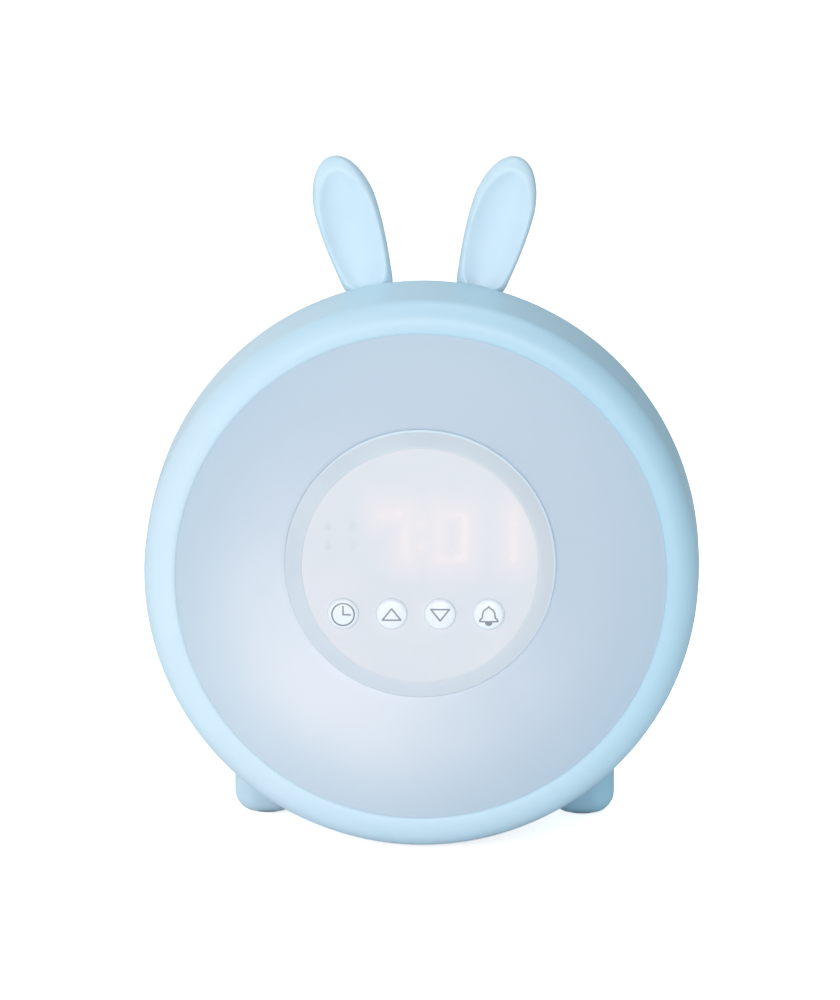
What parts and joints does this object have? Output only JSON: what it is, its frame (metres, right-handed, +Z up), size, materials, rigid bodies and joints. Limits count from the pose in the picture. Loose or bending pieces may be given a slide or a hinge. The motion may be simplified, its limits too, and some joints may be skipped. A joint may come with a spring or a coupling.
{
  "type": "alarm clock with night light",
  "caption": "Round bedside alarm clock for children with a milky glowing face, a raised digital display with buttons, two scooped ears on top and small feet behind.",
  "frame": {"origin": "on the floor, under the middle of the clock's outline", "axes": "+Z up, -Y towards the viewer (the glowing face), +X to the viewer's right"},
  "size_m": [0.1488, 0.079, 0.1814],
  "materials": {
    "shell_blue": "smooth matt moulded plastic, pale sky blue",
    "ear_blue": "smooth matt moulded plastic, very pale blue",
    "milky_white": "translucent milky plastic, softly glowing",
    "frosted": "frosted translucent plastic",
    "window_white": "smooth white plastic with a soft sheen",
    "button_white": "smooth white plastic with a printed sign",
    "digit_glow": "lit white LED segments",
    "digit_dark": "unlit segments, faintly grey",
    "inner_white": "white moulded plastic",
    "inner_grey": "grey moulded plastic",
    "board_green": "green lacquered circuit board",
    "board_white": "white lacquered circuit board",
    "chip_black": "matt black packages",
    "lamp_yellow": "pale yellow LED packages",
    "steel": "bright zinc plated steel",
    "nickel": "nickel plated sheet metal",
    "paper_cone": "black pressed paper",
    "foam": "black foam gasket",
    "pad_rubber": "soft pale rubber"
  },
  "bodies": {
    "clock": {"body_shell": "shell_blue", "rear_cover": "shell_blue", "left_ear": "ear_blue", "right_ear": "ear_blue", "left_foot": "shell_blue", "right_foot": "shell_blue", "foot_pads": "pad_rubber", "base_pad": "pad_rubber", "fixing_washers": "steel", "fixing_screws": "steel", "diffuser": "milky_white", "display_bezel": "frosted", "display_lock_ring": "inner_white", "display_window": "window_white", "display_frame": "inner_white", "led_display": "window_white", "lit_segments": "digit_glow", "unlit_segments": "digit_dark", "display_board": "board_green", "tact_switches": "chip_black", "display_back": "inner_white", "display_screws": "steel", "light_tray": "inner_white", "light_board": "board_white", "light_lamps": "lamp_yellow", "light_board_screws": "steel", "tray_screws": "steel", "main_board": "board_green", "main_board_parts": "chip_black", "board_screws": "steel", "speaker_frame": "nickel", "speaker_cone": "paper_cone", "speaker_magnet": "steel", "speaker_gasket": "foam", "speaker_screws": "steel", "power_board": "board_green", "power_socket": "nickel", "battery_contacts": "nickel", "cover_screws": "steel"},
    "time_button": {"time_button": "button_white", "time_plunger": "inner_grey"},
    "up_button": {"up_button": "button_white", "up_plunger": "inner_grey"},
    "down_button": {"down_button": "button_white", "down_plunger": "inner_grey"},
    "alarm_button": {"alarm_button": "button_white", "alarm_plunger": "inner_grey"},
    "battery_door": {"battery_door": "shell_blue"}
  },
  "joints": [
    {"name": "time_press", "type": "slide", "parent": "clock", "child": "time_button", "axis": [0, 1, 0], "range_m": [0, 0.0006], "stiffness_N_per_m": 1200},
    {"name": "up_press", "type": "slide", "parent": "clock", "child": "up_button", "axis": [0, 1, 0], "range_m": [0, 0.0006], "stiffness_N_per_m": 1200},
    {"name": "down_press", "type": "slide", "parent": "clock", "child": "down_button", "axis": [0, 1, 0], "range_m": [0, 0.0006], "stiffness_N_per_m": 1200},
    {"name": "alarm_press", "type": "slide", "parent": "clock", "child": "alarm_button", "axis": [0, 1, 0], "range_m": [0, 0.0006], "stiffness_N_per_m": 1200},
    {"name": "battery_door_tip", "type": "hinge", "parent": "clock", "child": "battery_door", "pos_m": [0, 0.03948, 0.0255], "axis": [-1, 0, 0], "range_deg": [0, 80]}
  ]
}
